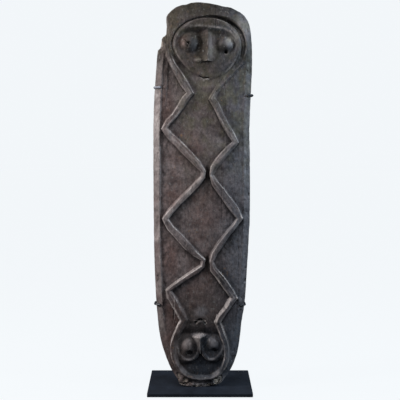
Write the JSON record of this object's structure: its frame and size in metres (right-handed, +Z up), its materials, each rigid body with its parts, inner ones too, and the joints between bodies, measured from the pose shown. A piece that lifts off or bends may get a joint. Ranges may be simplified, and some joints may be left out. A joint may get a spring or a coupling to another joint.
{
  "type": "carved votive panel on stand",
  "caption": "Tall carved wooden panel with a wide-eyed face above, a raised zigzag band and a smaller upturned face below, clipped to a flat steel stand.",
  "frame": {"origin": "middle of the base plate's underside, on the floor", "axes": "+Z up along the panel, -Y out of the carved front, +X to the right seen from the front"},
  "size_m": [0.412, 0.28, 1.514],
  "materials": {
    "carved_wood": "old dark hardwood with a worn grey-brown patina",
    "black_steel": "satin black paint",
    "clip_steel": "dark paint, rubbed on the bends"
  },
  "bodies": {
    "root": {"panel": "carved_wood", "base_plate": "black_steel", "post": "black_steel", "upper_left_clip": "clip_steel", "upper_right_clip": "clip_steel", "lower_left_clip": "clip_steel", "lower_right_clip": "clip_steel"}
  },
  "joints": []
}
